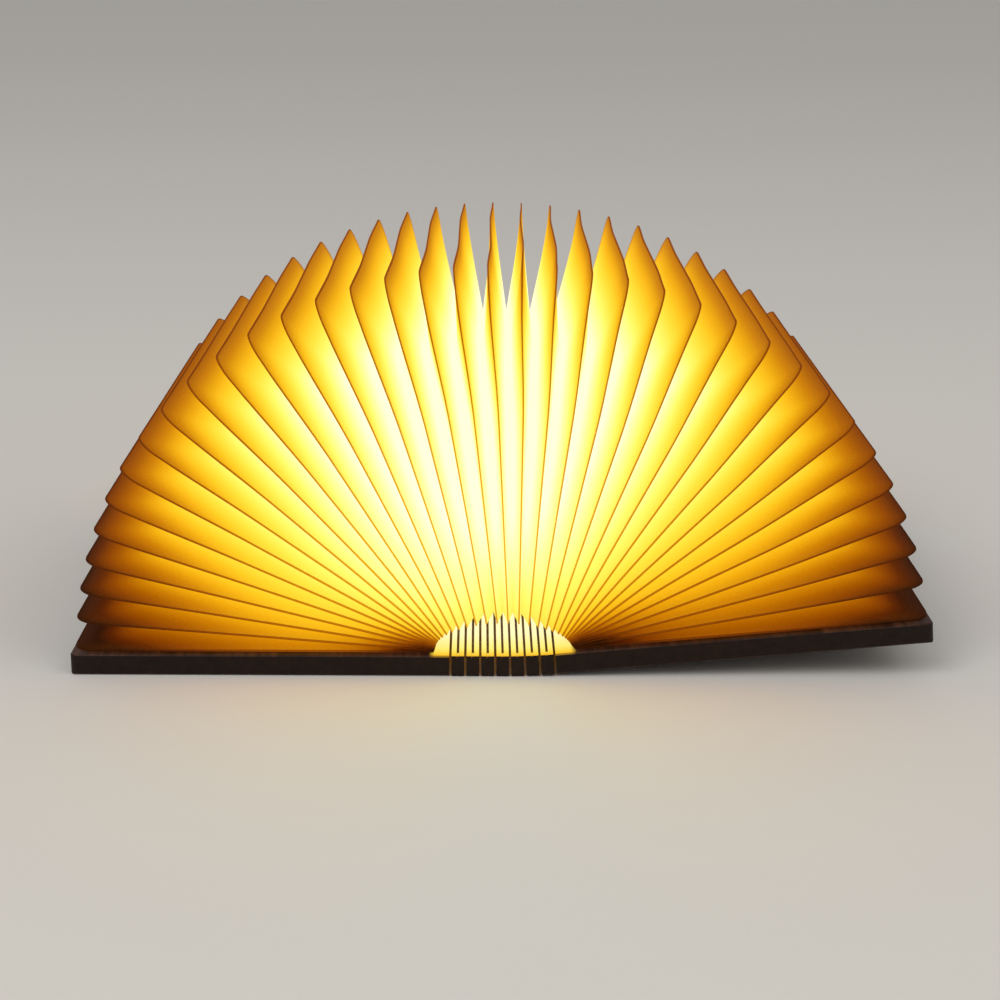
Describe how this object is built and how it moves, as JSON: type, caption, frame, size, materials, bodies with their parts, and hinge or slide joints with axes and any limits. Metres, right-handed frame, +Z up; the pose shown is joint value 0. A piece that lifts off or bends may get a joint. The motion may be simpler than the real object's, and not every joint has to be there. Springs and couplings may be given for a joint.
{
  "type": "folding book lamp",
  "caption": "Book-shaped lamp: two wooden covers on a slit living hinge open an accordion of paper pages that glows over a battery light.",
  "frame": {"origin": "on the table under the middle of the spine, at the centre of the lamp's footprint", "axes": "+X across the open book to the raised right cover, +Y along the spine to the back edge, +Z up from the table"},
  "size_m": [0.2478, 0.142, 0.1177],
  "materials": {
    "walnut_board": "satin",
    "page_paper": "matt, lit from inside",
    "white_case": "matt",
    "frosted_lid": "frosted, lit",
    "circuit_board": "matt",
    "battery_pouch": "foil",
    "socket_metal": "satin",
    "screw_steel": "satin",
    "magnet_nickel": "polished"
  },
  "bodies": {
    "left_cover": {"left_cover": "walnut_board", "page_01": "page_paper", "light_base": "white_case", "light_diffuser": "frosted_lid", "led_board": "circuit_board", "battery": "battery_pouch", "charge_socket": "socket_metal", "base_screws": "screw_steel", "left_magnets": "magnet_nickel"},
    "strip_01": {"strip_01": "walnut_board"},
    "strip_02": {"strip_02": "walnut_board"},
    "strip_03": {"strip_03": "walnut_board"},
    "strip_04": {"strip_04": "walnut_board"},
    "strip_05": {"strip_05": "walnut_board"},
    "strip_06": {"strip_06": "walnut_board"},
    "strip_07": {"strip_07": "walnut_board"},
    "strip_08": {"strip_08": "walnut_board"},
    "strip_09": {"strip_09": "walnut_board"},
    "strip_10": {"strip_10": "walnut_board"},
    "strip_11": {"strip_11": "walnut_board"},
    "strip_12": {"strip_12": "walnut_board"},
    "strip_13": {"strip_13": "walnut_board"},
    "strip_14": {"strip_14": "walnut_board"},
    "right_cover": {"right_cover": "walnut_board", "page_36": "page_paper", "right_magnets": "magnet_nickel"},
    "page_02": {"page_02": "page_paper"},
    "page_03": {"page_03": "page_paper"},
    "page_04": {"page_04": "page_paper"},
    "page_05": {"page_05": "page_paper"},
    "page_06": {"page_06": "page_paper"},
    "page_07": {"page_07": "page_paper"},
    "page_08": {"page_08": "page_paper"},
    "page_09": {"page_09": "page_paper"},
    "page_10": {"page_10": "page_paper"},
    "page_11": {"page_11": "page_paper"},
    "page_12": {"page_12": "page_paper"},
    "page_13": {"page_13": "page_paper"},
    "page_14": {"page_14": "page_paper"},
    "page_15": {"page_15": "page_paper"},
    "page_16": {"page_16": "page_paper"},
    "page_17": {"page_17": "page_paper"},
    "page_18": {"page_18": "page_paper"},
    "page_19": {"page_19": "page_paper"},
    "page_20": {"page_20": "page_paper"},
    "page_21": {"page_21": "page_paper"},
    "page_22": {"page_22": "page_paper"},
    "page_23": {"page_23": "page_paper"},
    "page_24": {"page_24": "page_paper"},
    "page_25": {"page_25": "page_paper"},
    "page_26": {"page_26": "page_paper"},
    "page_27": {"page_27": "page_paper"},
    "page_28": {"page_28": "page_paper"},
    "page_29": {"page_29": "page_paper"},
    "page_30": {"page_30": "page_paper"},
    "page_31": {"page_31": "page_paper"},
    "page_32": {"page_32": "page_paper"},
    "page_33": {"page_33": "page_paper"},
    "page_34": {"page_34": "page_paper"},
    "page_35": {"page_35": "page_paper"}
  },
  "joints": [
    {"name": "fold_01", "type": "hinge", "parent": "left_cover", "child": "page_02", "pos_m": [-0.01842, 0, 0.00085], "axis": [0, -1, 0], "range_deg": [-1.12, 4.48], "deforming": ["page_02", "page_01"]},
    {"name": "fold_02", "type": "hinge", "parent": "page_02", "child": "page_03", "pos_m": [-0.01835, 0, 0.00208], "axis": [0, -1, 0], "range_deg": [-1.15, 4.57], "deforming": ["page_03"]},
    {"name": "fold_03", "type": "hinge", "parent": "page_03", "child": "page_04", "pos_m": [-0.01831, 0, 0.00377], "axis": [0, -1, 0], "range_deg": [-1.19, 4.74], "deforming": ["page_04"]},
    {"name": "fold_04", "type": "hinge", "parent": "page_04", "child": "page_05", "pos_m": [-0.01812, 0, 0.00575], "axis": [0, -1, 0], "range_deg": [-1.24, 4.96], "deforming": ["page_05"]},
    {"name": "fold_05", "type": "hinge", "parent": "page_05", "child": "page_06", "pos_m": [-0.01758, 0, 0.00783], "axis": [0, -1, 0], "range_deg": [-1.31, 5.21], "deforming": ["page_06"]},
    {"name": "fold_06", "type": "hinge", "parent": "page_06", "child": "page_07", "pos_m": [-0.01652, 0, 0.00979], "axis": [0, -1, 0], "range_deg": [-1.37, 5.45], "deforming": ["page_07"]},
    {"name": "fold_07", "type": "hinge", "parent": "page_07", "child": "page_08", "pos_m": [-0.0148, 0, 0.01142], "axis": [0, -1, 0], "range_deg": [-1.41, 5.64], "deforming": ["page_08"]},
    {"name": "fold_08", "type": "hinge", "parent": "page_08", "child": "page_09", "pos_m": [-0.01235, 0, 0.01249], "axis": [0, -1, 0], "range_deg": [-1.44, 5.76], "deforming": ["page_09"]},
    {"name": "fold_09", "type": "hinge", "parent": "page_09", "child": "page_10", "pos_m": [-0.00921, 0, 0.01277], "axis": [0, -1, 0], "range_deg": [-1.45, 5.78], "deforming": ["page_10"]},
    {"name": "fold_10", "type": "hinge", "parent": "page_10", "child": "page_11", "pos_m": [-0.00553, 0, 0.01202], "axis": [0, -1, 0], "range_deg": [-1.43, 5.69], "deforming": ["page_11"]},
    {"name": "fold_11", "type": "hinge", "parent": "page_11", "child": "page_12", "pos_m": [-0.0016, 0, 0.01006], "axis": [0, -1, 0], "range_deg": [-1.38, 5.51], "deforming": ["page_12"]},
    {"name": "fold_12", "type": "hinge", "parent": "page_12", "child": "page_13", "pos_m": [0.00217, 0, 0.00675], "axis": [0, -1, 0], "range_deg": [-1.31, 5.24], "deforming": ["page_13"]},
    {"name": "fold_13", "type": "hinge", "parent": "page_13", "child": "page_14", "pos_m": [0.00521, 0, 0.00212], "axis": [0, -1, 0], "range_deg": [-1.23, 4.92], "deforming": ["page_14"]},
    {"name": "fold_14", "type": "hinge", "parent": "page_14", "child": "page_15", "pos_m": [0.0069, 0, -0.00365], "axis": [0, -1, 0], "range_deg": [-1.15, 4.57], "deforming": ["page_15"]},
    {"name": "fold_15", "type": "hinge", "parent": "page_15", "child": "page_16", "pos_m": [0.00665, 0, -0.01005], "axis": [0, -1, 0], "range_deg": [-1.06, 4.23], "deforming": ["page_16"]},
    {"name": "fold_16", "type": "hinge", "parent": "page_16", "child": "page_17", "pos_m": [0.00413, 0, -0.01617], "axis": [0, -1, 0], "range_deg": [-0.99, 3.95], "deforming": ["page_17"]},
    {"name": "fold_17", "type": "hinge", "parent": "page_17", "child": "page_18", "pos_m": [-0.00038, 0, -0.02086], "axis": [0, -1, 0], "range_deg": [-0.94, 3.75], "deforming": ["page_18"]},
    {"name": "fold_18", "type": "hinge", "parent": "page_18", "child": "page_19", "pos_m": [-0.00585, 0, -0.02297], "axis": [0, -1, 0], "range_deg": [-0.92, 3.66], "deforming": ["page_19"]},
    {"name": "fold_19", "type": "hinge", "parent": "page_19", "child": "page_20", "pos_m": [-0.01071, 0, -0.02193], "axis": [0, -1, 0], "range_deg": [-0.92, 3.68], "deforming": ["page_20"]},
    {"name": "fold_20", "type": "hinge", "parent": "page_20", "child": "page_21", "pos_m": [-0.01355, 0, -0.01811], "axis": [0, -1, 0], "range_deg": [-0.96, 3.81], "deforming": ["page_21"]},
    {"name": "fold_21", "type": "hinge", "parent": "page_21", "child": "page_22", "pos_m": [-0.01372, 0, -0.01256], "axis": [0, -1, 0], "range_deg": [-1.01, 4.04], "deforming": ["page_22"]},
    {"name": "fold_22", "type": "hinge", "parent": "page_22", "child": "page_23", "pos_m": [-0.01144, 0, -0.00654], "axis": [0, -1, 0], "range_deg": [-1.09, 4.34], "deforming": ["page_23"]},
    {"name": "fold_23", "type": "hinge", "parent": "page_23", "child": "page_24", "pos_m": [-0.00746, 0, -0.00103], "axis": [0, -1, 0], "range_deg": [-1.17, 4.68], "deforming": ["page_24"]},
    {"name": "fold_24", "type": "hinge", "parent": "page_24", "child": "page_25", "pos_m": [-0.00266, 0, 0.00343], "axis": [0, -1, 0], "range_deg": [-1.26, 5.02], "deforming": ["page_25"]},
    {"name": "fold_25", "type": "hinge", "parent": "page_25", "child": "page_26", "pos_m": [0.00224, 0, 0.00667], "axis": [0, -1, 0], "range_deg": [-1.34, 5.33], "deforming": ["page_26"]},
    {"name": "fold_26", "type": "hinge", "parent": "page_26", "child": "page_27", "pos_m": [0.00673, 0, 0.00874], "axis": [0, -1, 0], "range_deg": [-1.4, 5.59], "deforming": ["page_27"]},
    {"name": "fold_27", "type": "hinge", "parent": "page_27", "child": "page_28", "pos_m": [0.01052, 0, 0.00982], "axis": [0, -1, 0], "range_deg": [-1.44, 5.76], "deforming": ["page_28"]},
    {"name": "fold_28", "type": "hinge", "parent": "page_28", "child": "page_29", "pos_m": [0.01352, 0, 0.0101], "axis": [0, -1, 0], "range_deg": [-1.47, 5.85], "deforming": ["page_29"]},
    {"name": "fold_29", "type": "hinge", "parent": "page_29", "child": "page_30", "pos_m": [0.01573, 0, 0.00977], "axis": [0, -1, 0], "range_deg": [-1.47, 5.85], "deforming": ["page_30"]},
    {"name": "fold_30", "type": "hinge", "parent": "page_30", "child": "page_31", "pos_m": [0.01725, 0, 0.00902], "axis": [0, -1, 0], "range_deg": [-1.45, 5.78], "deforming": ["page_31"]},
    {"name": "fold_31", "type": "hinge", "parent": "page_31", "child": "page_32", "pos_m": [0.01821, 0, 0.00797], "axis": [0, -1, 0], "range_deg": [-1.42, 5.66], "deforming": ["page_32"]},
    {"name": "fold_32", "type": "hinge", "parent": "page_32", "child": "page_33", "pos_m": [0.01879, 0, 0.00677], "axis": [0, -1, 0], "range_deg": [-1.38, 5.52], "deforming": ["page_33"]},
    {"name": "fold_33", "type": "hinge", "parent": "page_33", "child": "page_34", "pos_m": [0.01913, 0, 0.00554], "axis": [0, -1, 0], "range_deg": [-1.35, 5.38], "deforming": ["page_34"]},
    {"name": "fold_34", "type": "hinge", "parent": "page_34", "child": "page_35", "pos_m": [0.01937, 0, 0.00441], "axis": [0, -1, 0], "range_deg": [-1.32, 5.27], "deforming": ["page_35"]},
    {"name": "fold_35", "type": "hinge", "parent": "page_35", "child": "right_cover", "pos_m": [0.01959, 0, 0.0035], "axis": [0, -1, 0], "range_deg": [-1.3, 5.2], "deforming": ["page_36"]},
    {"name": "slit_01", "type": "hinge", "parent": "left_cover", "child": "strip_01", "pos_m": [-0.01505, 0, 0.003], "axis": [0, -1, 0], "range_deg": [-3, 12.01]},
    {"name": "slit_02", "type": "hinge", "parent": "strip_01", "child": "strip_02", "pos_m": [-0.0129, 0, 0.003], "axis": [0, -1, 0], "range_deg": [-3, 12.01]},
    {"name": "slit_03", "type": "hinge", "parent": "strip_02", "child": "strip_03", "pos_m": [-0.01075, 0, 0.003], "axis": [0, -1, 0], "range_deg": [-3, 12.01]},
    {"name": "slit_04", "type": "hinge", "parent": "strip_03", "child": "strip_04", "pos_m": [-0.0086, 0, 0.003], "axis": [0, -1, 0], "range_deg": [-3, 12.01]},
    {"name": "slit_05", "type": "hinge", "parent": "strip_04", "child": "strip_05", "pos_m": [-0.00645, 0, 0.003], "axis": [0, -1, 0], "range_deg": [-3, 12.01]},
    {"name": "slit_06", "type": "hinge", "parent": "strip_05", "child": "strip_06", "pos_m": [-0.0043, 0, 0.003], "axis": [0, -1, 0], "range_deg": [-3, 12.01]},
    {"name": "slit_07", "type": "hinge", "parent": "strip_06", "child": "strip_07", "pos_m": [-0.00215, 0, 0.003], "axis": [0, -1, 0], "range_deg": [-3, 12.01]},
    {"name": "slit_08", "type": "hinge", "parent": "strip_07", "child": "strip_08", "pos_m": [0, 0, 0.003], "axis": [0, -1, 0], "range_deg": [-2.84, 11.35]},
    {"name": "slit_09", "type": "hinge", "parent": "strip_08", "child": "strip_09", "pos_m": [0.00215, 0, 0.00302], "axis": [0, -1, 0], "range_deg": [-2.84, 11.35]},
    {"name": "slit_10", "type": "hinge", "parent": "strip_09", "child": "strip_10", "pos_m": [0.0043, 0, 0.00307], "axis": [0, -1, 0], "range_deg": [-2.84, 11.35]},
    {"name": "slit_11", "type": "hinge", "parent": "strip_10", "child": "strip_11", "pos_m": [0.00645, 0, 0.00315], "axis": [0, -1, 0], "range_deg": [-2.84, 11.35]},
    {"name": "slit_12", "type": "hinge", "parent": "strip_11", "child": "strip_12", "pos_m": [0.0086, 0, 0.00325], "axis": [0, -1, 0], "range_deg": [-2.84, 11.35]},
    {"name": "slit_13", "type": "hinge", "parent": "strip_12", "child": "strip_13", "pos_m": [0.01074, 0, 0.00337], "axis": [0, -1, 0], "range_deg": [-2.84, 11.35]},
    {"name": "slit_14", "type": "hinge", "parent": "strip_13", "child": "strip_14", "pos_m": [0.01289, 0, 0.00352], "axis": [0, -1, 0], "range_deg": [-2.84, 11.35]}
  ],
  "couplings": [
    {"joint": "fold_01", "follows": "fold_35", "ratio": 0.86011},
    {"joint": "fold_02", "follows": "fold_35", "ratio": 0.87754},
    {"joint": "fold_03", "follows": "fold_35", "ratio": 0.91002},
    {"joint": "fold_04", "follows": "fold_35", "ratio": 0.95308},
    {"joint": "fold_05", "follows": "fold_35", "ratio": 1.0007},
    {"joint": "fold_06", "follows": "fold_35", "ratio": 1.0463},
    {"joint": "fold_07", "follows": "fold_35", "ratio": 1.083},
    {"joint": "fold_08", "follows": "fold_35", "ratio": 1.1054},
    {"joint": "fold_09", "follows": "fold_35", "ratio": 1.1094},
    {"joint": "fold_10", "follows": "fold_35", "ratio": 1.0934},
    {"joint": "fold_11", "follows": "fold_35", "ratio": 1.058},
    {"joint": "fold_12", "follows": "fold_35", "ratio": 1.0065},
    {"joint": "fold_13", "follows": "fold_35", "ratio": 0.9439},
    {"joint": "fold_14", "follows": "fold_35", "ratio": 0.87697},
    {"joint": "fold_15", "follows": "fold_35", "ratio": 0.81293},
    {"joint": "fold_16", "follows": "fold_35", "ratio": 0.75882},
    {"joint": "fold_17", "follows": "fold_35", "ratio": 0.7206},
    {"joint": "fold_18", "follows": "fold_35", "ratio": 0.70246},
    {"joint": "fold_19", "follows": "fold_35", "ratio": 0.70632},
    {"joint": "fold_20", "follows": "fold_35", "ratio": 0.73166},
    {"joint": "fold_21", "follows": "fold_35", "ratio": 0.77559},
    {"joint": "fold_22", "follows": "fold_35", "ratio": 0.83324},
    {"joint": "fold_23", "follows": "fold_35", "ratio": 0.8984},
    {"joint": "fold_24", "follows": "fold_35", "ratio": 0.96428},
    {"joint": "fold_25", "follows": "fold_35", "ratio": 1.0243},
    {"joint": "fold_26", "follows": "fold_35", "ratio": 1.0731},
    {"joint": "fold_27", "follows": "fold_35", "ratio": 1.1067},
    {"joint": "fold_28", "follows": "fold_35", "ratio": 1.1234},
    {"joint": "fold_29", "follows": "fold_35", "ratio": 1.1238},
    {"joint": "fold_30", "follows": "fold_35", "ratio": 1.1103},
    {"joint": "fold_31", "follows": "fold_35", "ratio": 1.0871},
    {"joint": "fold_32", "follows": "fold_35", "ratio": 1.0594},
    {"joint": "fold_33", "follows": "fold_35", "ratio": 1.0325},
    {"joint": "fold_34", "follows": "fold_35", "ratio": 1.0115},
    {"joint": "slit_01", "follows": "fold_35", "ratio": 2.3062},
    {"joint": "slit_02", "follows": "fold_35", "ratio": 2.3062},
    {"joint": "slit_03", "follows": "fold_35", "ratio": 2.3062},
    {"joint": "slit_04", "follows": "fold_35", "ratio": 2.3062},
    {"joint": "slit_05", "follows": "fold_35", "ratio": 2.3062},
    {"joint": "slit_06", "follows": "fold_35", "ratio": 2.3062},
    {"joint": "slit_07", "follows": "fold_35", "ratio": 2.3062},
    {"joint": "slit_08", "follows": "fold_35", "ratio": 2.1796},
    {"joint": "slit_09", "follows": "fold_35", "ratio": 2.1796},
    {"joint": "slit_10", "follows": "fold_35", "ratio": 2.1796},
    {"joint": "slit_11", "follows": "fold_35", "ratio": 2.1796},
    {"joint": "slit_12", "follows": "fold_35", "ratio": 2.1796},
    {"joint": "slit_13", "follows": "fold_35", "ratio": 2.1796},
    {"joint": "slit_14", "follows": "fold_35", "ratio": 2.1796}
  ]
}
